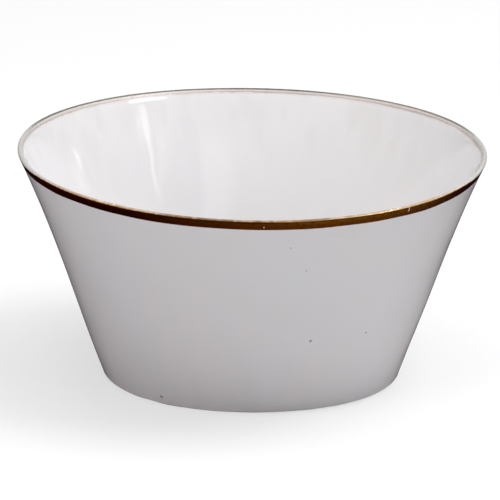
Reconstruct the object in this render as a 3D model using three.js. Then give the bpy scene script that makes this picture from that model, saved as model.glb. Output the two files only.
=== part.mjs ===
// A hand-thrown porcelain serving bowl with a thick white glaze and a band of fired gold over its lip.
//
// The bowl is one piece of fired clay. What can be told apart on it, from the inside out, is a clay
// body with a turned foot ring, a glaze poured inside, a glaze dipped outside, a glaze brushed into
// the hollow under the foot, and a gold band painted over the lip. Each is a closed solid of its own,
// made by turning its section about the Z axis, as the potter's wheel makes it.
//
// Millimetres, +Z up. The origin is the centre of the foot ring's contact face, on the table.

import * as THREE from "three";

// The bowl's size, along the middle of its wall.
const LIP_RADIUS = 123.6; // from the axis to the middle of the lip
const LIP_HEIGHT = 120.8; // of the middle of the lip
const FOOT_RADIUS = 75.1; // where the wall's middle line would meet the table
const FLARE = 9.9; // how strongly the wall hollows below a straight cone

// The clay.
const CLAY_AT_LIP = 1.5; // wall thickness
const CLAY_AT_FOOT = 3.7;
const FLOOR_HEIGHT = 6; // top of the clay floor above the table
const FLOOR_FILLET = 12; // radius between floor and wall, inside
const FOOT_CORNER = 3.35; // radius between wall and contact face, outside
const RECESS_RADIUS = 68; // inner edge of the foot ring
const RECESS_DEPTH = 2; // also the radius of the recess's rounded edge

// The coats. Each lies this far off the one below it, so that no two solids share a face.
const GAP = 0.05;
const GLAZE = 0.35; // thickness
const GOLD = 0.2; // thickness, far more than a real film of gold
const GOLD_OUTSIDE = 4.1; // how far the gold reaches below the middle of the lip, outside
const GOLD_INSIDE = 1.4; // and inside

// Heights at which the coats off the clay's surface begin and end.
const GLAZE_COAT = [GAP, GAP + GLAZE];
const GOLD_COAT = [2 * GAP + GLAZE, 2 * GAP + GLAZE + GOLD];

// Where the glaze stops short of the table, as an angle round the foot's corner.
const GLAZE_END_OUTSIDE = THREE.MathUtils.degToRad(-48);
const GLAZE_END_RECESS = THREE.MathUtils.degToRad(35);

// How finely the solids are cut into flat faces.
const SEGMENTS = 64; // round the axis
const WALL_STEPS = 8; // up the wall, to the edge of the gold
const LIP_STEPS = 6; // round the half circle of the lip

const OUTSIDE = 1;
const INSIDE = -1;

// Points are [distance from the axis, height]. ------------------------------------------------------

const arcPoint = (centre, radius, angle) => [
  centre[0] + radius * Math.cos(angle),
  centre[1] + radius * Math.sin(angle),
];

// Evenly spaced values from first to last, both included.
const spread = (first, last, steps) =>
  Array.from({ length: steps + 1 }, (_, i) => first + ((last - first) * i) / steps);

// The wall's middle line: a cone with a hollow in it, deepest two thirds of the way up.
function middleRadius(height) {
  const u = height / LIP_HEIGHT;
  return FOOT_RADIUS + (LIP_RADIUS - FOOT_RADIUS) * u - FLARE * u * u * (1 - u);
}

// The wall's lean from upright at this height.
function lean(height) {
  const u = height / LIP_HEIGHT;
  const slope = (LIP_RADIUS - FOOT_RADIUS - FLARE * (2 * u - 3 * u * u)) / LIP_HEIGHT;
  return Math.atan(slope);
}

const halfClay = (height) =>
  THREE.MathUtils.lerp(CLAY_AT_FOOT, CLAY_AT_LIP, height / LIP_HEIGHT) / 2;

// The point this far outwards from the middle line, square to the wall.
const offWall = (height, distance) =>
  arcPoint([middleRadius(height), height], distance, -lean(height));

// A point of the clay's face, or of a coat this high above it, on one side of the wall.
const onWall = (side, height, coat) => offWall(height, side * (halfClay(height) + coat));

// The centre of a round of this radius that touches a level plane and one side of the wall, with
// the height on the middle line that it is level with. The foot's corner turns inside the clay, and
// the floor's fillet turns in the air inside the bowl. A few rounds settle the height.
function roundAgainst(side, plane, radius) {
  const reach = (height) =>
    side === OUTSIDE ? halfClay(height) - radius : -halfClay(height) - radius;
  const centreHeight = plane + radius;
  let height = centreHeight;
  for (let round = 0; round < 6; round++) {
    height = centreHeight + reach(height) * Math.sin(lean(height));
  }
  return { height, centre: offWall(height, reach(height)), lean: lean(height) };
}

const corner = roundAgainst(OUTSIDE, 0, FOOT_CORNER);
const fillet = roundAgainst(INSIDE, FLOOR_HEIGHT, FLOOR_FILLET);
const lipCentre = [LIP_RADIUS, LIP_HEIGHT];
const lipLean = lean(LIP_HEIGHT);

// Stretches of the section, each a list of points for a coat this high above the clay. --------------

const outerWall = (coat) =>
  [...spread(corner.height, LIP_HEIGHT - GOLD_OUTSIDE, WALL_STEPS), LIP_HEIGHT].map((height) =>
    onWall(OUTSIDE, height, coat),
  );

const innerWall = (coat) =>
  [LIP_HEIGHT, ...spread(LIP_HEIGHT - GOLD_INSIDE, fillet.height, WALL_STEPS)].map((height) =>
    onWall(INSIDE, height, coat),
  );

// Angles round the lip: from square to the outer wall, over the crest, to square to the inner wall.
const lipAngles = spread(-lipLean, Math.PI - lipLean, LIP_STEPS);
const lip = (coat, angles) =>
  angles.map((angle) => arcPoint(lipCentre, CLAY_AT_LIP / 2 + coat, angle));

// Round the foot's corner, from the glaze's end up to the wall, and the bare stretch below it.
const glazedCorner = (coat) =>
  spread(GLAZE_END_OUTSIDE, -corner.lean, 2).map((angle) =>
    arcPoint(corner.centre, FOOT_CORNER + coat, angle),
  );
const bareCorner = () =>
  spread(-Math.PI / 2, GLAZE_END_OUTSIDE, 2).map((angle) =>
    arcPoint(corner.centre, FOOT_CORNER, angle),
  );

// Down round the floor's fillet to the floor, then across it to the axis.
const floor = (coat) => [
  ...spread(-fillet.lean, -Math.PI / 2, 4).map((angle) =>
    arcPoint(fillet.centre, FLOOR_FILLET - coat, angle),
  ),
  [0, FLOOR_HEIGHT + coat],
];

// From the axis across the recess under the foot and down its rounded edge to this angle.
const recess = (coat, lowest) => [
  [0, RECESS_DEPTH - coat],
  ...spread(Math.PI / 2, lowest, 4).map((angle) =>
    arcPoint([RECESS_RADIUS - RECESS_DEPTH, 0], RECESS_DEPTH - coat, angle),
  ),
];

// A coat's section is its outer stretch one way and its inner stretch back, closed. -----------------

const reversed = (points) => [...points].reverse();
const closed = (points) => [...points, points[0]];

function claySection() {
  return [
    ...recess(0, 0),
    ...bareCorner(),
    ...glazedCorner(0).slice(1),
    ...outerWall(0).slice(1),
    ...lip(0, lipAngles).slice(1, -1),
    ...innerWall(0),
    ...floor(0).slice(1),
  ];
}

// The two glazes meet under the gold at the crest of the lip, a gap apart.
const crest = LIP_STEPS / 2;
const halfSeam = GAP / 2 / (CLAY_AT_LIP / 2 + GLAZE_COAT[1]);
const outerLipAngles = [...lipAngles.slice(1, crest), lipAngles[crest] - halfSeam];
const innerLipAngles = [lipAngles[crest] + halfSeam, ...lipAngles.slice(crest + 1, -1)];

function outerGlazeSection() {
  const face = (coat) => [
    ...glazedCorner(coat),
    ...outerWall(coat).slice(1),
    ...lip(coat, outerLipAngles),
  ];
  return closed([...face(GLAZE_COAT[1]), ...reversed(face(GLAZE_COAT[0]))]);
}

function innerGlazeSection() {
  const face = (coat) => [
    ...lip(coat, innerLipAngles),
    ...innerWall(coat),
    ...floor(coat).slice(1),
  ];
  return [...reversed(face(GLAZE_COAT[0])), ...face(GLAZE_COAT[1])];
}

function baseGlazeSection() {
  const face = (coat) => recess(coat, GLAZE_END_RECESS);
  return [...face(GLAZE_COAT[1]), ...reversed(face(GLAZE_COAT[0]))];
}

function goldSection() {
  const face = (coat) => [
    onWall(OUTSIDE, LIP_HEIGHT - GOLD_OUTSIDE, coat),
    ...lip(coat, lipAngles),
    onWall(INSIDE, LIP_HEIGHT - GOLD_INSIDE, coat),
  ];
  return closed([...face(GOLD_COAT[1]), ...reversed(face(GOLD_COAT[0]))]);
}

// Materials. ----------------------------------------------------------------------------------------

const bareClay = new THREE.MeshStandardMaterial({ color: 0xd8cdbd, roughness: 0.8 });
const whiteGlaze = new THREE.MeshStandardMaterial({ color: 0xe9e7e5, roughness: 0.12 });
const firedGold = new THREE.MeshStandardMaterial({ color: 0x8f6a2c, roughness: 0.25, metalness: 1 });

// The bowl. -----------------------------------------------------------------------------------------

// A section turned about the Z axis. LatheGeometry turns about Y, so the result is stood up.
function turned(name, section, material) {
  const points = section.map(([radius, height]) => new THREE.Vector2(radius, height));
  const geometry = new THREE.LatheGeometry(points, SEGMENTS).rotateX(Math.PI / 2);
  const mesh = new THREE.Mesh(geometry, material);
  mesh.name = name;
  return mesh;
}

const bowl = new THREE.Group();
bowl.name = "serving_bowl";
bowl.add(
  turned("clay_body", claySection(), bareClay),
  turned("inner_glaze", innerGlazeSection(), whiteGlaze),
  turned("outer_glaze", outerGlazeSection(), whiteGlaze),
  turned("base_glaze", baseGlazeSection(), whiteGlaze),
  turned("gold_band", goldSection(), firedGold),
);

export default bowl;
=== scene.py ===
# %% [markdown]
# # A porcelain serving bowl with a gold lip
#
# A wide bowl thrown on a wheel: a thin wall that leans outwards, a flat foot, a thick milky glaze
# inside and out, and a band of gold painted over the lip by hand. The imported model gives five
# solids: the clay, three coats of glaze and the gold. They are right in size and place, but they
# are cut into flat faces and perfectly round. This script turns each one again as a fine surface,
# gives it the small faults of handwork, and gives it its finish.
#
# Everything is in metres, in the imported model's frame: +Z up, the foot standing on Z = 0.

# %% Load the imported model
import math

import bpy
import numpy as np
from mathutils import Matrix, Vector


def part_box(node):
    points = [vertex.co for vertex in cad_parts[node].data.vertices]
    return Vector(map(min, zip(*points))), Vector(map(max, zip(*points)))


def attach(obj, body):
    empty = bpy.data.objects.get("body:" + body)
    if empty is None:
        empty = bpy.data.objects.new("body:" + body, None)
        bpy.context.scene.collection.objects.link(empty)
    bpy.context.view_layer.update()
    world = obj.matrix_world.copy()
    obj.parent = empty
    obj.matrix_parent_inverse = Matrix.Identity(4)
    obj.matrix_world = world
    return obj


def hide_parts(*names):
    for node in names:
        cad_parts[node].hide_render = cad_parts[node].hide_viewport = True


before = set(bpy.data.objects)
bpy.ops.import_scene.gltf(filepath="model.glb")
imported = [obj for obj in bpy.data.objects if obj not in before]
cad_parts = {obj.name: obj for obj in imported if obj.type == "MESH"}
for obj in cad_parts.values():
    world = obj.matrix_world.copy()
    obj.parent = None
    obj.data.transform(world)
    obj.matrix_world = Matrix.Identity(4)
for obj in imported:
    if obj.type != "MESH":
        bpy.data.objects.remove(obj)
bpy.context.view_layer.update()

# %% [markdown]
# ## The bowl's measurements
#
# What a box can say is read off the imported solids: the gold band gives the width and the height of
# the lip, and the glazes give the floor and the recess under the foot. What a box can't say, such as
# a thickness or a radius, is named here.

# %% Measurements
MM = 0.001

gold_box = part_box("gold_band")
inner_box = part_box("inner_glaze")
recess_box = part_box("base_glaze")

rim_radius = gold_box[1].x
lip_top = gold_box[1].z
gold_film = 0.05 * MM
lip_half = 1.4 * MM                  # half the lip's thickness, gold included
lip_radius = rim_radius - lip_half   # to the middle of the lip
lip_height = lip_top - lip_half
lip_inner_round = 2.6 * MM           # the lip's inner edge is rounded longer than its outer one

foot_radius = 75.1 * MM              # where the middle of the wall would meet the table
foot_half = 2.25 * MM                # half the glazed wall's thickness there
flare = 9.9 * MM                     # how far the wall hollows below a straight cone
coat = 0.4 * MM                      # from the face of the glaze down to the clay
glaze = 0.35 * MM                    # the glaze's own thickness
corner_radius = 3.75 * MM            # round the foot, outside
fillet_radius = 11.6 * MM            # between wall and floor, inside
floor_height = inner_box[0].z + glaze
recess_depth = recess_box[1].z + coat - glaze
recess_radius = 68 * MM
print(f"rim {2 * rim_radius:.3f} m wide, lip {lip_top:.4f} m high, floor at {floor_height:.4f} m")

# %% [markdown]
# ## The section of the bowl
#
# A thrown bowl is one curve carried round an axis, so the whole shape is in that curve. The wall is
# a straight cone with a slight hollow, which makes it flare towards the lip. It could be drawn as a
# Bezier curve, but a formula has only the few numbers that matter, and offsets of it are exact:
# every coat lies at its own depth below the same skin.

# %% The wall as a formula
def middle_radius(height):
    """A cone from foot to lip, less flare times u squared times (1 - u), where u runs from 0 to 1."""
    u = height / lip_height
    return foot_radius + (lip_radius - foot_radius) * u - flare * u**2 * (1 - u)


def lean(height):
    """How far the wall leans out from upright: the angle whose tangent is the slope of that curve."""
    u = height / lip_height
    return np.arctan((lip_radius - foot_radius - flare * (2 * u - 3 * u**2)) / lip_height)


def half_wall(height):
    """Half the glazed wall's thickness, which falls evenly from the foot to the lip."""
    skin = lip_half - gold_film
    return foot_half + (skin - foot_half) * height / lip_height


def off_wall(height, distance):
    """The point this far out from the middle of the wall, square to it, as (radius, height)."""
    angle = -lean(height)
    return np.stack([middle_radius(height) + distance * np.cos(angle),
                     height + distance * np.sin(angle)], axis=-1)


def round_against(level, reach):
    """The centre of a round that is level with a height and reach(height) from the wall's middle."""
    height = level
    for _ in range(8):
        height = level + reach(height) * np.sin(lean(height))
    return height, off_wall(height, reach(height))


corner_height, corner_centre = round_against(
    corner_radius - coat, lambda height: half_wall(height) - corner_radius)
fillet_height, fillet_centre = round_against(
    floor_height + fillet_radius, lambda height: -half_wall(height) - fillet_radius)
print("foot corner centred at", np.round(corner_centre / MM, 1), "mm")

# %% [markdown]
# The skin of the bowl is now one line from the centre of the floor, up the inside, over the lip and
# down to the table. Measured along that line from the crest of the lip, every edge of a coat is one
# number: the gold ends so many millimetres down the outside, the glaze so many above the table.

# %% The skin as one line, measured from the crest of the lip
def arc(centre, radius, first, last, count):
    """Points round a circle from one angle to another, both included. radius may be (across, up)."""
    across, up = np.broadcast_to(radius, 2)
    angle = np.linspace(first, last, count)
    return centre + np.stack([across * np.cos(angle), up * np.sin(angle)], axis=-1)


def skin_line():
    """The glazed surface as points 0.1 to 0.5 mm apart, from the floor's centre to the table."""
    floor = np.stack([np.linspace(0, fillet_centre[0], 160),
                      np.full(160, floor_height)], axis=-1)
    fillet = arc(fillet_centre, fillet_radius, -math.pi / 2, -lean(fillet_height), 60)
    inside = np.linspace(fillet_height, lip_height - lip_inner_round, 260)
    outside = np.linspace(lip_height, corner_height, 300)
    inner_wall, outer_wall = off_wall(inside, -half_wall(inside)), off_wall(outside, half_wall(outside))
    corner = arc(corner_centre, corner_radius, -lean(corner_height), -math.pi / 2, 60)

    # The lip: a long quarter ellipse inside and a quarter circle outside, square to the wall.
    skin = lip_half - gold_film
    tilt = lean(lip_height)
    square_out = np.array([math.cos(tilt), -math.sin(tilt)])
    along_up = np.array([math.sin(tilt), math.cos(tilt)])
    centre = np.array([lip_radius, lip_height])
    turn = np.linspace(0, math.pi / 2, 50)[:, None]
    start = inner_wall[-1] + skin * square_out
    rise = (centre - start) @ along_up + skin
    inner_lip = start - skin * np.cos(turn) * square_out + rise * np.sin(turn) * along_up
    outer_lip = centre + skin * (np.sin(turn) * square_out + np.cos(turn) * along_up)
    return np.vstack([floor, fillet[1:], inner_wall[1:], inner_lip[1:], outer_lip[1:],
                      outer_wall[1:], corner[1:]])


line = skin_line()
steps = np.hypot(*np.diff(line, axis=0).T)
along = np.concatenate([[0], np.cumsum(steps)])
crest = int(np.argmax(line[:, 1]))
along = along - along[crest]          # 0 at the crest, below 0 inside, above 0 outside
tangent = np.gradient(line, along, axis=0)
tangent /= np.linalg.norm(tangent, axis=1, keepdims=True)
normal = np.stack([-tangent[:, 1], tangent[:, 0]], axis=-1)
axis_at, table_at = along[0], along[-1]
print(f"inside {-axis_at / MM:.0f} mm from crest to centre, outside {table_at / MM:.0f} mm to the table")


def on_skin(distance, depth):
    """(radius, height) at a distance along the skin from the crest, a depth below the surface."""
    place = [np.interp(distance, along, line[:, i]) - depth * np.interp(distance, along, normal[:, i])
             for i in (0, 1)]
    return place[0], place[1]


# %% [markdown]
# ## What handwork adds
#
# A machine's bowl is round to a tenth of a millimetre. A thrown one isn't: the clay remembers the
# fingers, the rim sags a little in the kiln, and thick glaze runs and settles in soft waves. These
# faults are far too small to see as shape, but glaze is a mirror, and a mirror shows them all.
# Noise from a texture could displace the mesh, but a few cosines say how many waves there are
# round the bowl and how tall they are, and they close on themselves with no seam.

# %% Soft waves round and up the bowl
def waves(theta, height, seed, count, around, tall, depth):
    """A sum of cosines: whole numbers of waves round the bowl, and lengths up it, at random phases.
    around is the (fewest, most) waves round, tall the (shortest, longest) length, depth the size."""
    rng = np.random.default_rng(seed)
    total = np.zeros(np.broadcast(theta, height).shape)
    for _ in range(count):
        turns = rng.integers(around[0], around[1] + 1)
        climb = 2 * math.pi / rng.uniform(*tall) * rng.choice([-1, 1])
        total += np.cos(turns * theta + climb * height + rng.uniform(0, 2 * math.pi))
    return depth * total * math.sqrt(2 / count)


def lobes(theta, *terms):
    """Slow waves round the bowl, in metres: for each (count, size in mm, degrees), a cosine with so
    many peaks, one of them at that azimuth."""
    return sum(size * MM * np.cos(count * (theta - math.radians(peak))) for count, size, peak in terms)


def sag(theta, height):
    """How the whole bowl left the kiln, as (outwards, upwards): the rim dips by a millimetre at the
    front and the back and rises at the sides, and neither the rim nor the foot is a true circle."""
    u = np.clip(height / lip_height, 0, 1)
    up = u**2 * lobes(theta, (2, 1.0, 0), (3, 0.3, -10))
    rim = lobes(theta, (3, 0.2, 55), (4, 0.6, -35))
    foot = lobes(theta, (1, 0.4, 10), (2, 1.5, 0), (3, 1.2, -20))
    return u * rim + (1 - u) * foot, up


def fingers(theta, height):
    """Slow unevenness of the thrown wall, a tenth of a millimetre, level at the foot."""
    lift = np.clip(height / (15 * MM), 0, 1)
    return lift * waves(theta, height, 11, 8, (2, 9), (40 * MM, 160 * MM), 0.09 * MM)


def settled_glaze(theta, height, side):
    """Waves in the glaze's own surface, a few hundredths of a millimetre, different on each side."""
    fade = np.clip((lip_height - height) / (9 * MM), 0, 1) * np.clip(height / (9 * MM), 0, 1)
    seed = 23 if side == "outside" else 31
    return fade * waves(theta, height, seed, 16, (6, 34), (18 * MM, 90 * MM), 0.022 * MM)


# %% [markdown]
# ## From a section to a mesh
#
# Each piece is a grid: rows follow the section, columns go round the bowl. A coat of glaze has a
# face that shows and a face against the clay, and the grid runs down one and back up the other, so
# it closes on itself. A piece that reaches the axis ends in a single point there, with a fan of
# triangles. The grid could be made with a Screw modifier, but then every row would be perfectly
# round, and the edges of the gold could not wander.

# %% Grids into meshes
COLUMNS = 384
theta = np.linspace(0, 2 * math.pi, COLUMNS, endpoint=False)[None, :]


def rows(*stretches):
    """Distances along the skin: each stretch is (from, to, step), and shared ends come once."""
    parts = [np.linspace(a, b, max(2, round(abs(b - a) / step) + 1)) for a, b, step in stretches]
    return np.concatenate([parts[0]] + [part[1:] for part in parts[1:]])[:, None]


HOLLOW_DEPTH, HOLLOW_AT, HOLLOW_REACH = 0.10 * MM, -2.6 * MM, 2.2 * MM


def thin_below_lip(distance):
    """How far the glaze inside has run down and left the lip thin: a soft hollow, a bell curve of
    HOLLOW_DEPTH centred HOLLOW_AT along the skin. Its slight curve catches the window's top."""
    return HOLLOW_DEPTH * np.exp(-(((distance - HOLLOW_AT) / HOLLOW_REACH) ** 2))


def place_on_bowl(distance, depth, side):
    """Grids of (x, y, z) for distances along the skin and depths below it, with the handwork added."""
    distance, depth, around = np.broadcast_arrays(distance, depth, theta)
    if side:
        depth = depth + thin_below_lip(distance)
    radius, height = on_skin(distance, depth)
    out, up = sag(around, height)
    radius = radius + np.where(radius > 1e-6, out + fingers(around, height), 0)
    if side:
        facing = 1 if side == "outside" else -1
        radius = radius + np.where(height > floor_height, facing * settled_glaze(around, height, side), 0)
    return np.stack([radius * np.cos(around), radius * np.sin(around), height + up], axis=-1)


def grid_faces(row_count, closed):
    """Quads between neighbouring rows and columns, as vertex numbers. Columns always close."""
    last = row_count if closed else row_count - 1
    row, column = np.meshgrid(np.arange(last), np.arange(COLUMNS), indexing="ij")
    up, right = (row + 1) % row_count, (column + 1) % COLUMNS
    quads = [row * COLUMNS + column, row * COLUMNS + right, up * COLUMNS + right, up * COLUMNS + column]
    return np.stack(quads, axis=-1).reshape(-1, 4)


# %% A piece from its grid
def make_piece(name, points, distance, poles=()):
    """A smooth mesh object from a grid of points. With no poles the rows close on themselves. With
    poles, the first and last rows each end in a point on the axis. The UV map is in metres: across
    is the way round the rim, and up is the distance from the crest, below zero inside."""
    row_count = points.shape[0]
    vertices = points.reshape(-1, 3)
    faces = grid_faces(row_count, closed=not len(poles))
    around = np.broadcast_to(theta, points.shape[:2])
    uv = np.stack([around * rim_radius, np.broadcast_to(distance, around.shape)], axis=-1).reshape(-1, 2)
    polygons = faces.tolist()
    if len(poles):
        first, last = len(vertices), len(vertices) + 1
        vertices = np.vstack([vertices, np.array(poles)])
        uv = np.vstack([uv, uv[[0, -COLUMNS]]])
        here = np.arange(COLUMNS)
        ahead = (here + 1) % COLUMNS
        top = (row_count - 1) * COLUMNS
        polygons += np.stack([np.full(COLUMNS, first), ahead, here], axis=-1).tolist()
        polygons += np.stack([np.full(COLUMNS, last), top + here, top + ahead], axis=-1).tolist()
    mesh = bpy.data.meshes.new(name)
    mesh.from_pydata(vertices, [], polygons)
    corner = np.zeros(len(mesh.loops), np.int32)
    mesh.loops.foreach_get("vertex_index", corner)
    flat = uv[corner]
    # Faces across the seam run on past a whole turn instead of jumping back to zero.
    sizes = np.array([len(p) for p in polygons])
    owner = np.repeat(np.arange(len(sizes)), sizes)
    turn = 2 * math.pi * rim_radius
    furthest = np.zeros(len(sizes))
    np.maximum.at(furthest, owner, flat[:, 0])
    flat[:, 0] += turn * (furthest[owner] - flat[:, 0] > turn / 2)
    mesh.uv_layers.new(name="round_and_down").data.foreach_set("uv", flat.ravel())
    mesh.polygons.foreach_set("use_smooth", np.ones(len(sizes), bool))
    mesh.update()
    piece = bpy.data.objects.new(name, mesh)
    bpy.context.scene.collection.objects.link(piece)
    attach(piece, "root")
    print(f"{name}: {len(vertices)} points, {len(polygons)} faces")
    return piece


# %% [markdown]
# ## The clay
#
# One piece of clay: wall, floor, and a foot ring left when the middle of the base was turned away.
# It shows only on the ring that touches the table, which is wiped clean so that it can't stick to
# the kiln shelf. It still gets its whole shape, so that the glaze lies on something real.

# %% The clay, inside, over the lip, down to the table, and across the recess
clay_rows = rows((axis_at, axis_at + 60 * MM, 12 * MM), (axis_at + 60 * MM, -6 * MM, 3 * MM),
                 (-6 * MM, 6 * MM, 0.6 * MM), (6 * MM, table_at - 8 * MM, 3 * MM),
                 (table_at - 8 * MM, table_at, 0.5 * MM))[1:]
clay_skin = place_on_bowl(clay_rows, coat, "")
recess_round = arc(np.array([recess_radius - recess_depth, 0]), recess_depth, 0, math.pi / 2, 9)
underside = np.vstack([[[corner_centre[0] - 2 * MM, 0]], recess_round,
                       np.stack([np.linspace(recess_radius - 2 * recess_depth, 10 * MM, 6),
                                 np.full(6, recess_depth)], axis=-1)])
out, _ = sag(theta, np.zeros(1))
under_radius = underside[:, :1] + out
clay_under = np.stack([under_radius * np.cos(theta), under_radius * np.sin(theta),
                       np.broadcast_to(underside[:, 1:], under_radius.shape)], axis=-1)
clay_grid = np.vstack([clay_skin, clay_under])
clay_grid[..., 2] = np.maximum(clay_grid[..., 2], 0)
clay_along = np.concatenate([clay_rows[:, 0], table_at + np.arange(1, len(underside) + 1) * MM])
turned_clay = make_piece("turned_clay", clay_grid, clay_along[:, None],
                         poles=[(0, 0, floor_height - coat), (0, 0, recess_depth)])
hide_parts("clay_body")

# %% [markdown]
# ## The glazes
#
# The inside is glazed by pouring and the outside by dipping, foot upwards. The two coats meet at the
# crest of the lip. Wherever a glaze ends, surface tension rolls it into a bead, and the bead above
# the foot wanders with the wax that held the glaze back. The coats get a back face against the
# clay, so each is a closed skin, as it is on a broken edge.

# %% Glaze outside
BARE_ANGLE = 90 - 48                   # degrees of the foot's corner left bare above the table
BEAD_PROUD, BEAD_BACK, BEAD_REACH = 0.12 * MM, 0.9 * MM, 0.6 * MM
bead_at = table_at - corner_radius * math.radians(BARE_ANGLE)


def bead(distance, end):
    """The roll of glaze along an edge: a bell curve BEAD_PROUD high, BEAD_BACK from the end."""
    return -BEAD_PROUD * np.exp(-(((np.abs(end - distance) - BEAD_BACK) / BEAD_REACH) ** 2))


outer_rows = rows((0.04 * MM, 3 * MM, 0.12 * MM), (3 * MM, 12 * MM, 0.6 * MM),
                  (12 * MM, bead_at - 6 * MM, 1.3 * MM), (bead_at - 6 * MM, bead_at, 0.2 * MM))
stop = waves(theta, 0, 41, 7, (3, 30), (1, 2), 0.16 * MM)
near_end = np.clip(1 - (bead_at - outer_rows) / (6 * MM), 0, 1)
outer_face_at = outer_rows + near_end * stop
outer_face = place_on_bowl(outer_face_at, bead(outer_rows, bead_at), "outside")
back_rows = rows((bead_at - 0.1 * MM, bead_at - 6 * MM, 1.5 * MM), (bead_at - 6 * MM, 8 * MM, 4 * MM),
                 (8 * MM, 0.04 * MM, 0.4 * MM))
back_near = np.clip(1 - (bead_at - back_rows) / (6 * MM), 0, 1)
outer_back = place_on_bowl(back_rows + back_near * stop, glaze, "")
outside_glaze = make_piece("outside_glaze", np.vstack([outer_face, outer_back]),
                           np.vstack([outer_rows, back_rows]))
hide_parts("outer_glaze")

# %% Glaze inside
inner_rows = rows((axis_at, axis_at + 56 * MM, 4 * MM), (axis_at + 56 * MM, -12 * MM, 1.3 * MM),
                  (-12 * MM, -4 * MM, 0.5 * MM), (-4 * MM, -0.04 * MM, 0.12 * MM))[1:]
inner_back_rows = rows((-0.04 * MM, -8 * MM, 0.4 * MM), (-8 * MM, axis_at + 56 * MM, 4 * MM),
                       (axis_at + 56 * MM, axis_at, 14 * MM))[:-1]
inner_grid = np.vstack([place_on_bowl(inner_rows, 0, "inside"),
                        place_on_bowl(inner_back_rows, glaze, "")])
inside_glaze = make_piece("inside_glaze", inner_grid, np.vstack([inner_rows, inner_back_rows]),
                          poles=[(0, 0, floor_height), (0, 0, floor_height - glaze)])
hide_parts("inner_glaze")

# %% Glaze in the recess under the foot
def recess_face(depth, lowest):
    """From near the axis across the recess and down its rounded edge, a depth under the clay."""
    flat = np.stack([np.linspace(6 * MM, recess_radius - 2 * recess_depth, 12),
                     np.full(12, recess_depth - depth)], axis=-1)
    edge = arc(np.array([recess_radius - recess_depth, 0]), recess_depth - depth,
               math.pi / 2, math.radians(lowest), 12)
    return np.vstack([flat, edge])


recess_section = np.vstack([recess_face(coat, 36), recess_face(coat - glaze, 34)[::-1]])
recess_radii = recess_section[:, :1] + out
recess_grid = np.stack([recess_radii * np.cos(theta), recess_radii * np.sin(theta),
                        np.broadcast_to(recess_section[:, 1:], recess_radii.shape)], axis=-1)
recess_along = table_at + np.arange(len(recess_section))[:, None] * MM
recess_glaze = make_piece("recess_glaze", recess_grid, recess_along,
                          poles=[(0, 0, recess_depth - coat), (0, 0, recess_depth - coat + glaze)])
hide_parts("base_glaze")

# %% [markdown]
# ## The gold
#
# Liquid gold is painted on the glaze with a brush while the bowl turns, and fired again at a low
# heat. It is a film, thinner than a hair, that follows the glaze under it. Its edges are a painter's
# edges: nearly level on the outside, where the brush was steadied, and ragged on the inside of the
# lip, where the tip of the brush trailed. So the rows of this grid run from a wandering inner edge
# to a wandering outer edge.

# %% A band of gold between two painted edges
gold_outer_edge = 6.3 * MM + waves(theta, 0, 51, 9, (2, 26), (1, 2), 0.10 * MM)
ragged = waves(theta, 0, 52, 14, (20, 150), (1, 2), 0.13 * MM)
gold_inner_edge = -2.9 * MM + ragged + waves(theta, 0, 53, 6, (2, 12), (1, 2), 0.14 * MM)
across = 0.5 - 0.5 * np.cos(np.linspace(0, math.pi, 34))[:, None]
gold_at = gold_inner_edge + (gold_outer_edge - gold_inner_edge) * across
film = gold_film * np.clip(np.minimum(across, 1 - across) / 0.06, 0.3, 1)
gold_face = place_on_bowl(gold_at, -film, "outside")
gold_back = place_on_bowl(gold_at[::-1], -0.25 * film[::-1], "outside")
painted_gold = make_piece("painted_gold", np.vstack([gold_face, gold_back]),
                          np.vstack([gold_at, gold_at[::-1]]))
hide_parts("gold_band")

# %% [markdown]
# ## Effects that several finishes share
#
# A node group is a small tool that more than one material picks up. Each takes a few numbers and
# gives back a mask or a colour that changes over the surface.

# %% A short way to add nodes
def node(tree, kind, inputs=None, **settings):
    """A node with its settings and its unlinked inputs filled in. inputs may hold sockets to link."""
    made = tree.nodes.new(kind)
    for key, value in settings.items():
        setattr(made, key, value)
    for key, value in (inputs or {}).items():
        if isinstance(value, bpy.types.NodeSocket):
            tree.links.new(value, made.inputs[key])
        else:
            made.inputs[key].default_value = value
    return made


def maths(tree, operation, a, b=0.0, c=0.0):
    """The result socket of a Math node."""
    made = tree.nodes.new("ShaderNodeMath")
    made.operation = operation
    for slot, value in enumerate((a, b, c)):
        if isinstance(value, bpy.types.NodeSocket):
            tree.links.new(value, made.inputs[slot])
        else:
            made.inputs[slot].default_value = value
    return made.outputs[0]


def mix_colour(tree, factor, a, b):
    """The colour between a and b."""
    made = tree.nodes.new("ShaderNodeMix")
    made.data_type = "RGBA"
    for name, value in (("Factor", factor), ("A", a), ("B", b)):
        socket = next(s for s in made.inputs if s.name == name and s.enabled)
        if isinstance(value, bpy.types.NodeSocket):
            tree.links.new(value, socket)
        else:
            socket.default_value = value
    return next(s for s in made.outputs if s.enabled)


def fade_between(tree, value, start, end, low=0.0, high=1.0):
    """A smooth step of value from low at start to high at end."""
    made = node(tree, "ShaderNodeMapRange", {"Value": value, "From Min": start, "From Max": end,
                                             "To Min": low, "To Max": high},
                interpolation_type="SMOOTHSTEP")
    return made.outputs["Result"]


def noise(tree, vector, scale, detail=2.0, roughness=0.5):
    """The value of a noise texture, from 0 to 1."""
    made = node(tree, "ShaderNodeTexNoise", {"Vector": vector, "Scale": scale, "Detail": detail,
                                             "Roughness": roughness})
    return made.outputs["Fac"]


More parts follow.
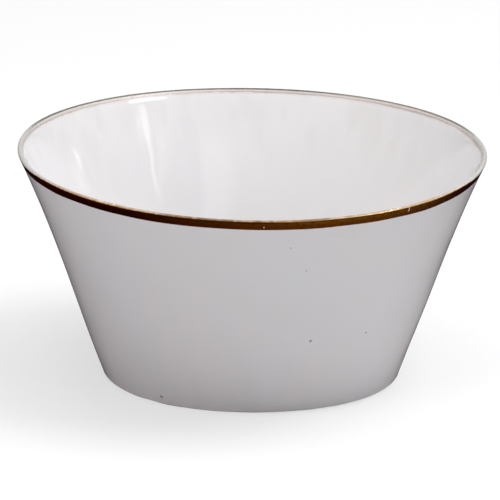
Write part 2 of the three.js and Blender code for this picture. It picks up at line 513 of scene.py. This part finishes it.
def group(name, inputs, outputs):
    """An empty node group: its tree, its input node and its output node. Sockets are (name, kind, value)."""
    tree = bpy.data.node_groups.new(name, "ShaderNodeTree")
    for label, kind, value in inputs:
        socket = tree.interface.new_socket(label, in_out="INPUT", socket_type=kind)
        if value is not None:
            socket.default_value = value
    for label, kind in outputs:
        tree.interface.new_socket(label, in_out="OUTPUT", socket_type=kind)
    return tree, tree.nodes.new("NodeGroupInput"), tree.nodes.new("NodeGroupOutput")


FLOAT, COLOUR, VECTOR = "NodeSocketFloat", "NodeSocketColor", "NodeSocketVector"

# %% [markdown]
# Milky glaze is never one white. It is a little warmer where it lies thin and cooler where it pools,
# in clouds a few centimetres across, with faint upright streaks where it ran. Under a lens it is
# dotted with pinholes, where a bubble burst, and the odd grey speck of iron.

# %% Group: clouds and runs in a milky glaze
def make_clouds():
    """Tints a colour by slow clouds, stretched upright, and by fine upright runs."""
    tree, given, result = group(
        "clouds_in_glaze",
        [("Place", VECTOR, None), ("Colour", COLOUR, (0.8, 0.8, 0.8, 1)),
         ("Thin Colour", COLOUR, (0.8, 0.78, 0.75, 1)), ("Pooled Colour", COLOUR, (0.8, 0.8, 0.82, 1)),
         ("Strength", FLOAT, 1.0)],
        [("Colour", COLOUR), ("Height", FLOAT)])
    tall = node(tree, "ShaderNodeMapping", {"Vector": given.outputs["Place"], "Scale": (1, 1, 0.45)})
    slow = noise(tree, tall.outputs[0], 22, 3)
    runs = node(tree, "ShaderNodeMapping", {"Vector": given.outputs["Place"], "Scale": (1, 1, 0.12)})
    fine = noise(tree, runs.outputs[0], 90, 2)
    both = maths(tree, "MULTIPLY_ADD", fine, 0.35, maths(tree, "MULTIPLY", slow, 0.65))
    thin = maths(tree, "MULTIPLY", fade_between(tree, both, 0.5, 0.36), given.outputs["Strength"])
    pooled = maths(tree, "MULTIPLY", fade_between(tree, both, 0.5, 0.64), given.outputs["Strength"])
    tinted = mix_colour(tree, thin, given.outputs["Colour"], given.outputs["Thin Colour"])
    tinted = mix_colour(tree, pooled, tinted, given.outputs["Pooled Colour"])
    tree.links.new(tinted, result.inputs["Colour"])
    tree.links.new(both, result.inputs["Height"])
    return tree


clouds_in_glaze = make_clouds()

# %% Group: pinholes and iron specks
def make_specks():
    """Sparse round dots: one cell in a few of a Voronoi texture gets a dot of its own size."""
    tree, given, result = group(
        "pinholes_and_specks",
        [("Place", VECTOR, None), ("Cells per metre", FLOAT, 60.0), ("Share", FLOAT, 0.1),
         ("Size", FLOAT, 0.05)],
        [("Mask", FLOAT)])
    cells = node(tree, "ShaderNodeTexVoronoi",
                 {"Vector": given.outputs["Place"], "Scale": given.outputs["Cells per metre"]})
    chance = node(tree, "ShaderNodeSeparateColor", {"Color": cells.outputs["Color"]})
    chosen = maths(tree, "LESS_THAN", chance.outputs[0], given.outputs["Share"])
    size = maths(tree, "MULTIPLY", given.outputs["Size"],
                 maths(tree, "MULTIPLY_ADD", chance.outputs[1], 0.8, 0.5))
    soft = maths(tree, "SUBTRACT", 1.0, maths(tree, "DIVIDE", cells.outputs["Distance"], size))
    dot = fade_between(tree, soft, 0.0, 0.6)
    tree.links.new(maths(tree, "MULTIPLY", dot, chosen), result.inputs["Mask"])
    return tree


pinholes_and_specks = make_specks()


def use_group(tree, which, inputs):
    """Places a node group in a material with its own values."""
    placed = node(tree, "ShaderNodeGroup", node_tree=which)
    for key, value in inputs.items():
        if isinstance(value, bpy.types.NodeSocket):
            tree.links.new(value, placed.inputs[key])
        else:
            placed.inputs[key].default_value = value
    return placed


# %% [markdown]
# ## The finishes
#
# Glaze is glass over white clay: a plain white under a clear, smooth surface with the refraction of
# glass. A Principled shader with a low roughness gives both at once. Real glaze also lets a little
# light in and out again nearby, but it is too thin here for that to show, so it is left out.

# %% Start of a material
def material(name, **plain):
    """A material with one Principled shader. plain are values set on the shader's own sockets."""
    made = bpy.data.materials.new(name)
    made.use_nodes = True
    tree = made.node_tree
    shader = tree.nodes["Principled BSDF"]
    for key, value in plain.items():
        shader.inputs[key.replace("_", " ")].default_value = value
    return made, tree, shader


def give(piece, finish):
    """Puts a finish on a piece."""
    piece.data.materials.clear()
    piece.data.materials.append(finish)
    print(f"{piece.name}: {finish.name}, {len(finish.node_tree.nodes)} nodes")


# %% Larger pinholes
# The larger pinholes, to the nearest 5 degrees and 5 mm: azimuth, height, radius in mm.
PINHOLES = [(285, 90, 0.5), (280, 105, 0.4), (270, 80, 0.4), (290, 45, 0.8), (310, 45, 0.6), (235, 5, 0.9)]


def pinhole_mask(tree, place):
    """One where a point lies in one of the larger pinholes, given as (azimuth, height, radius in mm)."""
    mask = 0.0
    for azimuth, height, radius in PINHOLES:
        turn, up = math.radians(azimuth), height * MM
        out, rise = sag(turn, up)
        wide = float(off_wall(up, half_wall(up))[0] + out)
        centre = (wide * math.cos(turn), wide * math.sin(turn), float(up + rise))
        gap = node(tree, "ShaderNodeVectorMath", {0: place, 1: centre}, operation="DISTANCE")
        dot = fade_between(tree, gap.outputs["Value"], radius * 1.6 * MM, radius * 0.4 * MM)
        mask = maths(tree, "MAXIMUM", mask, dot)
    return mask


# %% The glaze itself
def glaze_material(name, white, low, thin, pooled, by_hand):
    """Milky glaze: white near the lip and the colour low near the foot, a painted shade that darkens the
    wall towards the bottom, clouds of tint, specks, a warm line where it breaks over the lip, and a
    skin that is not quite flat. by_hand adds the few larger pinholes."""
    made, tree, shader = material(name, Roughness=0.055, IOR=1.5)
    place = node(tree, "ShaderNodeTexCoord").outputs["Object"]
    uv = node(tree, "ShaderNodeUVMap", uv_map="round_and_down").outputs["UV"]
    down = node(tree, "ShaderNodeSeparateXYZ", {0: uv}).outputs["Y"]
    up = node(tree, "ShaderNodeSeparateXYZ", {0: place}).outputs["Z"]
    # Painted shade: the colour low near the foot is darker than the white near the lip, so the wall darkens
    # towards the bottom.
    ground_with_painted_shade = mix_colour(tree, fade_between(tree, up, 55 * MM, 118 * MM), low, white)
    cloudy = use_group(tree, clouds_in_glaze, {"Place": place, "Colour": ground_with_painted_shade, "Thin Colour": thin,
                                               "Pooled Colour": pooled, "Strength": 0.5})
    specks = use_group(tree, pinholes_and_specks, {"Place": place, "Cells per metre": 75.0,
                                                   "Share": 0.035, "Size": 0.035})
    dots = specks.outputs["Mask"]
    if by_hand:
        dots = maths(tree, "MAXIMUM", dots, pinhole_mask(tree, place))
    # Glaze draws back from a sharp edge, so the clay warms it for a millimetre or two at the lip.
    from_crest = maths(tree, "ABSOLUTE", down)
    broken = maths(tree, "ADD", from_crest, maths(tree, "MULTIPLY", noise(tree, place, 260), 1.2 * MM))
    breaking = fade_between(tree, broken, 5.6 * MM, 2.6 * MM, 0.0, 0.45)
    colour = mix_colour(tree, breaking, cloudy.outputs["Colour"], (0.66, 0.58, 0.56, 1))
    colour = mix_colour(tree, maths(tree, "MULTIPLY", dots, 0.75), colour, (0.17, 0.16, 0.16, 1))
    tree.links.new(colour, shader.inputs["Base Color"])
    peel = noise(tree, place, 420, 2)
    skin = maths(tree, "MULTIPLY_ADD", cloudy.outputs["Height"], 3.0, maths(tree, "MULTIPLY", peel, 0.35))
    skin = maths(tree, "SUBTRACT", skin, maths(tree, "MULTIPLY", dots, 1.5))
    bump = node(tree, "ShaderNodeBump", {"Height": skin, "Strength": 1.0, "Distance": 0.02 * MM})
    tree.links.new(bump.outputs["Normal"], shader.inputs["Normal"])
    return made


# Painted shade: the outside copy of the same glaze, also used in the recess, is set darker than the inside
# copy.
inside_finish = glaze_material("milky_glaze_inside", (0.858, 0.848, 0.860, 1), (0.772, 0.762, 0.775, 1),
                               (0.80, 0.775, 0.775, 1), (0.775, 0.775, 0.795, 1), by_hand=False)
shaded_outside_finish = glaze_material("milky_glaze_outside_shaded", (0.775, 0.757, 0.778, 1), (0.742, 0.723, 0.748, 1),
                                (0.775, 0.738, 0.75, 1), (0.735, 0.74, 0.765, 1), by_hand=True)
give(inside_glaze, inside_finish)
give(outside_glaze, shaded_outside_finish)
give(recess_glaze, shaded_outside_finish)

# %% [markdown]
# Fired gold is a mirror the colour of old brass. Brushed thin, it shows the strokes that laid it, and
# hands and washing wear it first on the crest of the lip, where the pale glaze begins to show
# through. The colours of that worn crest are painted highlights and reflections, set by azimuth, and
# towards the front left the metal is painted darker, a painted shade. The far side of the lip has
# kept its metal over the crest, painted grey green as a painted reflection of the dark room. On the
# inner side the film is so thin that it is only a beige breath, and it ends in a thin line of pink.

# %% Chips in the gold, and a painted glint
# Where the gold is chipped, and one painted highlight: azimuth in degrees, half the width in mm, and
# from how far down the skin to how far, in mm. The first is a chip, a stroke down the band; the
# second is a painted glint, a small bright spot.
CHIPS_AND_GLINT = [(310, 0.4, 0.2, 4.4), (273, 0.4, 3.8, 5.0)]


# %% How much of the gold is left
def gold_cover(tree, down, sine, cosine, grain):
    """How much of the metal is left, with the mask of the worn crest. Measured down the skin from the
    crest, wear reaches 1.1 mm out on the near side and 2.1 mm at the left and right."""
    at_sides = fade_between(tree, maths(tree, "ABSOLUTE", cosine), 0.84, 0.985)
    reach = maths(tree, "MULTIPLY_ADD", at_sides, 1.0 * MM, 1.08 * MM)
    reach = maths(tree, "ADD", reach, maths(tree, "MULTIPLY_ADD", grain, 0.9 * MM, -0.45 * MM))
    from_reach = maths(tree, "SUBTRACT", down, reach)
    worn = fade_between(tree, from_reach, 0.22 * MM, -0.18 * MM)
    kept = fade_between(tree, sine, 0.12, 0.5)
    ragged_line = maths(tree, "MULTIPLY_ADD", grain, 0.5 * MM, down)
    film = fade_between(tree, ragged_line, -0.65 * MM, -1.05 * MM)
    worn = maths(tree, "MAXIMUM", maths(tree, "MULTIPLY", worn, maths(tree, "SUBTRACT", 1.0, kept)), film)
    return worn, film


def chip_and_glint_mask(tree, round_rim, down, grain):
    """One inside the chip and the painted glint, where the gold gives way to the glaze colour."""
    mask = 0.0
    aside = 0.4 * MM                   # the grain's middle value, taken back out
    for azimuth, half, first, last in CHIPS_AND_GLINT:
        off = maths(tree, "SUBTRACT", round_rim, math.radians(azimuth) * rim_radius + aside)
        off = maths(tree, "ABSOLUTE", maths(tree, "MULTIPLY_ADD", grain, 2 * aside, off))
        inside = fade_between(tree, off, half * MM, 0.4 * half * MM)
        middle, reach = (first + last) / 2 * MM, (last - first) / 2 * MM
        along_it = maths(tree, "ABSOLUTE", maths(tree, "SUBTRACT", down, middle))
        inside = maths(tree, "MULTIPLY", inside, fade_between(tree, along_it, reach, 0.5 * reach))
        mask = maths(tree, "MAXIMUM", mask, inside)
    return mask


# %% The gold itself
def gold_material():
    """Metal whose colour, gloss and cover change across the band, by the distance from the crest."""
    made, tree, shader = material("fired_gold", IOR=1.5)
    place = node(tree, "ShaderNodeTexCoord").outputs["Object"]
    uv = node(tree, "ShaderNodeUVMap", uv_map="round_and_down").outputs["UV"]
    across = node(tree, "ShaderNodeSeparateXYZ", {0: uv})
    down = across.outputs["Y"]
    position = node(tree, "ShaderNodeSeparateXYZ", {0: place})
    cosine = maths(tree, "DIVIDE", position.outputs["X"], rim_radius)
    sine = maths(tree, "DIVIDE", position.outputs["Y"], rim_radius)
    strokes = node(tree, "ShaderNodeMapping", {"Vector": uv, "Scale": (0.12, 1, 1)})
    brushed = noise(tree, strokes.outputs[0], 1500, 3)
    grain = noise(tree, place, 700, 3, 0.65)
    patchy = noise(tree, place, 160, 2, 0.55)
    worn, film = gold_cover(tree, down, sine, cosine, grain)
    chip_or_glint = chip_and_glint_mask(tree, across.outputs["X"], down, grain)

    # Red brown low on the band, olive gold under the crest, with strokes and darker grains.
    low = fade_between(tree, maths(tree, "MULTIPLY_ADD", brushed, 3.0 * MM, down), 2.6 * MM, 5.8 * MM)
    deep = mix_colour(tree, low, (0.82, 0.47, 0.085, 1), (0.56, 0.19, 0.014, 1))
    # Painted shade: from the middle of the front to the left the metal is made darker and redder, which dims
    # its reflection there.
    dimmed_reflection = maths(tree, "MULTIPLY", fade_between(tree, cosine, 0.40, 0.0), 0.55)
    deep = mix_colour(tree, dimmed_reflection, deep, (0.50, 0.12, 0.012, 1))
    deep = mix_colour(tree, fade_between(tree, grain, 0.52, 0.66), deep, (0.30, 0.075, 0.010, 1))
    # Painted reflection: where the far side keeps its metal over the crest, it is painted grey green for the
    # dark room it reflects, paler towards the right.
    far_painted_reflection = maths(tree, "MULTIPLY", fade_between(tree, sine, 0.0, 0.25),
                    fade_between(tree, down, 1.4 * MM, 0.7 * MM))
    grey = mix_colour(tree, fade_between(tree, cosine, 0.15, 0.50), (0.34, 0.345, 0.315, 1),
                      (0.62, 0.585, 0.56, 1))
    deep = mix_colour(tree, far_painted_reflection, deep, grey)
    # Painted highlights and reflections on the worn crest, set by azimuth: dull brown at the front, peach
    #     on each flank with bright painted glints, and pale at the far left and right.
    flank_highlight = fade_between(tree, maths(tree, "ABSOLUTE", cosine), 0.15, 0.62)
    crest = mix_colour(tree, flank_highlight, (0.30, 0.175, 0.105, 1), (0.56, 0.40, 0.27, 1))
    crest = mix_colour(tree, fade_between(tree, patchy, 0.42, 0.62), crest, (0.60, 0.44, 0.31, 1))
    glint_flecks = fade_between(tree, noise(tree, place, 620, 2, 0.6), 0.58, 0.66)
    crest = mix_colour(tree, maths(tree, "MULTIPLY", glint_flecks, flank_highlight), crest, (0.96, 0.86, 0.72, 1))
    pale_reflection_at_sides = fade_between(tree, maths(tree, "ABSOLUTE", cosine), 0.70, 0.94)
    crest = mix_colour(tree, pale_reflection_at_sides, crest, (0.71, 0.69, 0.665, 1))
    inner = mix_colour(tree, fade_between(tree, sine, -0.3, 0.1), crest, (0.70, 0.675, 0.64, 1))
    rim = mix_colour(tree, film, crest, inner)
    colour = mix_colour(tree, worn, deep, rim)
    towards_edge = maths(tree, "MULTIPLY_ADD", grain, 0.7 * MM, down)
    pink = fade_between(tree, towards_edge, -1.5 * MM, -2.1 * MM)
    colour = mix_colour(tree, maths(tree, "MULTIPLY", pink, 0.8), colour, (0.56, 0.455, 0.465, 1))
    # The chip shows the glaze, and the painted glint is given the same pale colour.
    colour = mix_colour(tree, maths(tree, "MULTIPLY", chip_or_glint, 0.75), colour, (0.66, 0.65, 0.63, 1))
    tree.links.new(colour, shader.inputs["Base Color"])

    cover = maths(tree, "SUBTRACT", 1.0, maths(tree, "MULTIPLY", worn, 0.82))
    cover = maths(tree, "MULTIPLY", cover, maths(tree, "SUBTRACT", 1.0, chip_or_glint))
    tree.links.new(cover, shader.inputs["Metallic"])
    dull = maths(tree, "MULTIPLY_ADD", worn, 0.12, maths(tree, "MULTIPLY_ADD", grain, 0.20, 0.08))
    tree.links.new(dull, shader.inputs["Roughness"])
    rough = maths(tree, "MULTIPLY_ADD", brushed, 0.6, maths(tree, "MULTIPLY", grain, 0.4))
    rough = maths(tree, "SUBTRACT", rough, maths(tree, "MULTIPLY", chip_or_glint, 1.2))
    bump = node(tree, "ShaderNodeBump", {"Height": rough, "Strength": 1.0, "Distance": 0.012 * MM})
    tree.links.new(bump.outputs["Normal"], shader.inputs["Normal"])
    return made


give(painted_gold, gold_material())

# %% [markdown]
# Bare porcelain clay is dry and slightly sandy, warmer than the glaze, and the ring that stands on
# the table is polished darker in places by being moved about.

# %% Clay
def clay_material():
    """Dry clay: fine grain, a few grains of grog, faint turning lines round the foot."""
    made, tree, shader = material("bare_clay", IOR=1.45)
    place = node(tree, "ShaderNodeTexCoord").outputs["Object"]
    uv = node(tree, "ShaderNodeUVMap", uv_map="round_and_down").outputs["UV"]
    turning = node(tree, "ShaderNodeMapping", {"Vector": uv, "Scale": (0.01, 1, 1)})
    lines = noise(tree, turning.outputs[0], 2200, 2)
    grain = noise(tree, place, 1800, 4, 0.7)
    stain = noise(tree, place, 45, 3)
    specks = use_group(tree, pinholes_and_specks, {"Place": place, "Cells per metre": 500.0,
                                                   "Share": 0.08, "Size": 0.35})
    colour = mix_colour(tree, stain, (0.66, 0.58, 0.48, 1), (0.56, 0.47, 0.37, 1))
    colour = mix_colour(tree, maths(tree, "MULTIPLY", grain, 0.35), colour, (0.80, 0.75, 0.68, 1))
    colour = mix_colour(tree, maths(tree, "MULTIPLY", specks.outputs["Mask"], 0.6), colour,
                        (0.22, 0.16, 0.11, 1))
    tree.links.new(colour, shader.inputs["Base Color"])
    dull = maths(tree, "MULTIPLY_ADD", stain, -0.25, 0.92)
    tree.links.new(dull, shader.inputs["Roughness"])
    height = maths(tree, "MULTIPLY_ADD", lines, 0.7, maths(tree, "MULTIPLY", grain, 0.5))
    bump = node(tree, "ShaderNodeBump", {"Height": height, "Strength": 1.0, "Distance": 0.06 * MM})
    tree.links.new(bump.outputs["Normal"], shader.inputs["Normal"])
    return made


give(turned_clay, clay_material())

# %% [markdown]
# ## The studio
#
# White glaze shows whatever stands round it, so the studio matters as much as the finish. The floor
# and the backdrop are pale to the camera. In reflections they are a dim table in a dim room, with
# daylight high up on the right and the left: that keeps the gold deep and its shoulders bright.

# %% Floor
FLOOR_HALF = 6.0                       # metres from the bowl to the floor's edge
UNDER_FOOT = -0.05 * MM                # just clear of the foot ring, so the two don't share a face
LIT_SPOT = (0.14, -0.19, 0)            # the middle of the lit part of the table, and how it fades, in m
LIT_FADE = (0.33, 0.04)


def studio_floor():
    """A wide pale floor. In gloss it is an emission, a painted pool of light: a dim brown table lit round
    LIT_SPOT, on the right, and dark further off. To soft light it is white round that spot and grey
    further off, a painted pool of light too, and gives the light from above back to the wall."""
    mesh = bpy.data.meshes.new("studio_floor")
    corners = [(x * FLOOR_HALF, y * FLOOR_HALF, UNDER_FOOT)
               for x, y in ((-1, -1), (1, -1), (1, 1), (-1, 1))]
    mesh.from_pydata(corners, [], [(0, 1, 2, 3)])
    floor = bpy.data.objects.new("studio_floor", mesh)
    bpy.context.scene.collection.objects.link(floor)
    made = bpy.data.materials.new("pale_floor")
    made.use_nodes = True
    tree = made.node_tree
    tree.nodes.clear()
    path = node(tree, "ShaderNodeLightPath")
    place = node(tree, "ShaderNodeTexCoord").outputs["Object"]
    gap = node(tree, "ShaderNodeVectorMath", {0: place, 1: LIT_SPOT}, operation="DISTANCE")
    lit = fade_between(tree, gap.outputs["Value"], *LIT_FADE)
    # Painted light on the floor: in gloss an emission that glows brown round LIT_SPOT and dark beyond; for
    # soft light white there and grey further off.
    table = mix_colour(tree, lit, (0.020, 0.004, 0.005, 1), (0.150, 0.118, 0.085, 1))
    bounce_with_painted_pool = mix_colour(tree, lit, (0.60, 0.60, 0.61, 1), (1.0, 1.0, 1.0, 1))
    in_gloss = node(tree, "ShaderNodeEmission", {"Color": table, "Strength": 1.0})
    bounce = node(tree, "ShaderNodeBsdfDiffuse", {"Color": bounce_with_painted_pool})
    pale = node(tree, "ShaderNodeBsdfDiffuse", {"Color": (0.42, 0.42, 0.425, 1)})
    lift = node(tree, "ShaderNodeEmission", {"Color": (0.56, 0.56, 0.565, 1), "Strength": 1.0})
    seen = node(tree, "ShaderNodeAddShader", {0: pale.outputs[0], 1: lift.outputs[0]})
    unseen = node(tree, "ShaderNodeMixShader", {0: path.outputs["Is Glossy Ray"], 1: bounce.outputs[0],
                                                2: in_gloss.outputs[0]})
    mixed = node(tree, "ShaderNodeMixShader", {0: path.outputs["Is Camera Ray"], 1: unseen.outputs[0],
                                               2: seen.outputs[0]})
    end = node(tree, "ShaderNodeOutputMaterial")
    tree.links.new(mixed.outputs[0], end.inputs["Surface"])
    mesh.materials.append(made)
    print(f"floor: {2 * FLOOR_HALF:.0f} m square, {UNDER_FOOT / MM} mm below the foot")


studio_floor()

# %% Room
# The daylight that gloss sees, as (towards it, its colour), and the even glow that soft light sees.
DAYLIGHT = [((0.62, 0.18, 0.76), (0.80, 0.76, 0.70, 1)), ((-0.62, 0.18, 0.76), (0.55, 0.50, 0.46, 1))]
AMBIENT = 0.05


def studio_room():
    """The world: pale to the camera. In gloss it is a dark room with daylight high up on the right
    and less of it on the left. To soft light it is a faint even glow."""
    world = bpy.data.worlds.new("studio")
    bpy.context.scene.world = world
    world.use_nodes = True
    tree = world.node_tree
    tree.nodes.clear()
    path = node(tree, "ShaderNodeLightPath")
    direction = node(tree, "ShaderNodeTexCoord").outputs["Generated"]
    glow = (0.11, 0.095, 0.07, 1)
    for side, colour in DAYLIGHT:
        towards = node(tree, "ShaderNodeVectorMath", {0: direction, 1: side}, operation="DOT_PRODUCT")
        glow = mix_colour(tree, fade_between(tree, towards.outputs["Value"], 0.45, 0.95), glow, colour)
    in_gloss = node(tree, "ShaderNodeBackground", {"Color": glow, "Strength": 1.0})
    even = node(tree, "ShaderNodeBackground", {"Color": (1, 1, 1, 1), "Strength": AMBIENT})
    pale = node(tree, "ShaderNodeBackground", {"Color": (0.93, 0.93, 0.935, 1), "Strength": 1.0})
    unseen = node(tree, "ShaderNodeMixShader", {0: path.outputs["Is Glossy Ray"], 1: even.outputs[0],
                                                2: in_gloss.outputs[0]})
    shown = node(tree, "ShaderNodeMixShader", {0: path.outputs["Is Camera Ray"], 1: unseen.outputs[0],
                                               2: pale.outputs[0]})
    end = node(tree, "ShaderNodeOutputWorld")
    tree.links.new(shown.outputs[0], end.inputs["Surface"])
    print(f"room: {len(DAYLIGHT)} patches of daylight")


studio_room()

# %% [markdown]
# The light is soft and comes from everywhere, a little more from the right. Large panels do that
# work and don't show in reflections. What shows in the glaze is one tall window and its transom, a
# faint wide one, and a small one further round, so they are separate panels that light only by gloss.

# %% Lights
LOOK_AT = Vector((-0.42 * MM, 0, 65.96 * MM))


def panel(name, turn, tilt, distance, size, watts, colour=(1, 1, 1), in_gloss=False, roll=0):
    """A soft panel facing the bowl. turn is degrees round from the right towards the back, tilt
    degrees up, size (width, height) in metres. in_gloss panels show only in reflections, and roll
    turns them about their own middle."""
    light = bpy.data.lights.new(name, "AREA")
    light.shape = "RECTANGLE"
    light.size, light.size_y = size
    light.energy = watts
    light.color = colour
    lamp = bpy.data.objects.new(name, light)
    bpy.context.scene.collection.objects.link(lamp)
    a, e = math.radians(turn), math.radians(tilt)
    towards = Vector((math.cos(a) * math.cos(e), math.sin(a) * math.cos(e), math.sin(e)))
    lamp.location = LOOK_AT + towards * distance
    facing = towards.to_track_quat("Z", "Y").to_matrix() @ Matrix.Rotation(math.radians(roll), 3, "Z")
    lamp.rotation_euler = facing.to_euler()
    lamp.visible_camera = False
    lamp.visible_glossy = in_gloss
    lamp.visible_diffuse = not in_gloss
    print(f"{name}: {size[0]} by {size[1]} m, {watts:.2f} W")


# %% Soft panels
panel("above", 90, 82, 2.2, (1.8, 1.8), 26)
panel("front_high", -90, 45, 2.6, (1.8, 1.2), 2)
panel("left_front", 215, 30, 2.4, (1.4, 1.2), 21, colour=(1, 0.975, 0.955))
panel("right_front", -35, 30, 2.4, (1.4, 1.2), 5.5)
panel("right_high", 0, 60, 2.4, (1.4, 1.2), 36)


# %% Windows that show in the glaze
def window(name, turn, tilt, size, brightness, roll=0):
    """A bright panel two metres off that shows only in reflections, by its brightness, not its power."""
    panel(name, turn, tilt, 2.0, size, brightness * math.pi * size[0] * size[1], in_gloss=True, roll=roll)


window("transom", -26, 40, (0.62, 0.30), 9.0, roll=-16)
window("upper_bar", -26, 30, (0.130, 0.20), 3.2, roll=-38)
window("lower_bar", -29, 25, (0.070, 0.24), 2.8, roll=-16)
window("left_bar", -22, 28, (0.060, 0.16), 2.6)
window("right_bar", -35, 28, (0.06, 0.32), 1.3, roll=18)
window("soft_panel", -67, 27, (0.60, 0.36), 1.0)
window("far_sill", 25, 13.5, (0.13, 0.025), 2.4, roll=-17)
window("far_bar", 25, 12.5, (0.16, 0.030), 2.4, roll=-28)

# %% [markdown]
# ## The camera
#
# A long lens from a little above the rim, which keeps the ellipse of the lip shallow and the sides
# nearly straight. It is rolled by a degree, so that the bowl leans a little in the frame.

# %% Camera
def take_camera(elevation, distance, lens, roll):
    """A camera in front of the bowl, looking along +Y and down, aimed at LOOK_AT."""
    camera = bpy.data.cameras.new("camera")
    camera.lens = lens
    camera.sensor_width = 36
    camera.clip_end = 50
    eye = bpy.data.objects.new("camera", camera)
    bpy.context.scene.collection.objects.link(eye)
    e = math.radians(elevation)
    back = Vector((0, -math.cos(e), math.sin(e)))
    turn = back.to_track_quat("Z", "Y").to_matrix() @ Matrix.Rotation(math.radians(roll), 3, "Z")
    eye.matrix_world = Matrix.Translation(LOOK_AT + back * distance) @ turn.to_4x4()
    bpy.context.scene.camera = eye
    print(f"camera: {distance} m off, {elevation} degrees up, {lens} mm lens")


take_camera(elevation=17.63, distance=2.5, lens=336.7, roll=0.97)
bpy.context.scene.view_settings.view_transform = "Standard"
